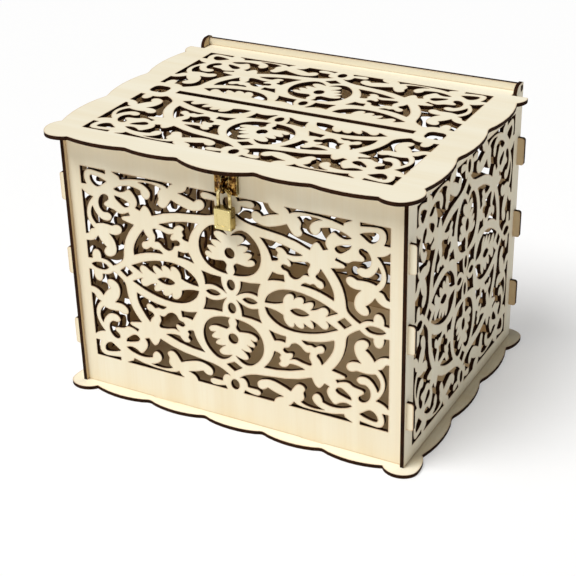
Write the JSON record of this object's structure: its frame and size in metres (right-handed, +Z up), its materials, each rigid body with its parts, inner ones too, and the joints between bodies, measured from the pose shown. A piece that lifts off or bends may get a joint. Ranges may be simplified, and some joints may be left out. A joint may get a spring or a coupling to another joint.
{
  "type": "card box",
  "caption": "Laser-cut plywood box with scrolled fretwork walls, a hinged fretwork lid with a card slot, a brass hasp and a small hanging padlock.",
  "frame": {"origin": "centre of the overall footprint, on the underside of the base board", "axes": "+X to the right seen from the front, +Y to the hinged back, +Z up; the front with the lock faces -Y"},
  "size_m": [0.2922, 0.2398, 0.2195],
  "materials": {
    "plywood": "raw birch-coloured plywood with burnt cut edges",
    "brass": "polished",
    "plated_steel": "brass-plated, polished",
    "steel": "plain"
  },
  "bodies": {
    "box": {"base_board": "plywood", "front_panel": "plywood", "back_panel": "plywood", "left_panel": "plywood", "right_panel": "plywood", "staple_plate": "brass", "staple_loop": "brass", "staple_screws": "brass"},
    "lid": {"lid_panel": "plywood", "hinge_rail": "plywood", "hasp_leaf": "brass", "hasp_screws": "brass"},
    "shackle": {"shackle": "plated_steel"},
    "lock_case": {"lock_body": "brass", "lock_front_plate": "brass", "lock_back_plate": "brass", "lock_rivets": "brass"},
    "key_plug": {"key_plug": "steel"},
    "lock_bolt": {"lock_bolt": "steel"}
  },
  "joints": [
    {"name": "lid_hinge", "type": "hinge", "parent": "box", "child": "lid", "pos_m": [0, 0.10715, 0.2152], "axis": [-1, 0, 0], "range_deg": [0, 240]},
    {"name": "lock_swing", "type": "hinge", "parent": "box", "child": "shackle", "pos_m": [0.001, -0.10235, 0.1918], "axis": [-1, 0, 0], "range_deg": [-3, 90]},
    {"name": "lock_drop", "type": "slide", "parent": "shackle", "child": "lock_case", "axis": [0, 0, -1], "range_m": [0, 0.007]},
    {"name": "key_turn", "type": "hinge", "parent": "lock_case", "child": "key_plug", "pos_m": [0.001, -0.10235, 0.16], "axis": [0, 0, -1], "range_deg": [0, 90.5]},
    {"name": "bolt_slide", "type": "slide", "parent": "lock_case", "child": "lock_bolt", "axis": [1, 0, 0], "range_m": [0, 0.0011]}
  ],
  "couplings": [
    {"joint": "key_turn", "follows": "bolt_slide", "rad_per_m": 1428}
  ]
}
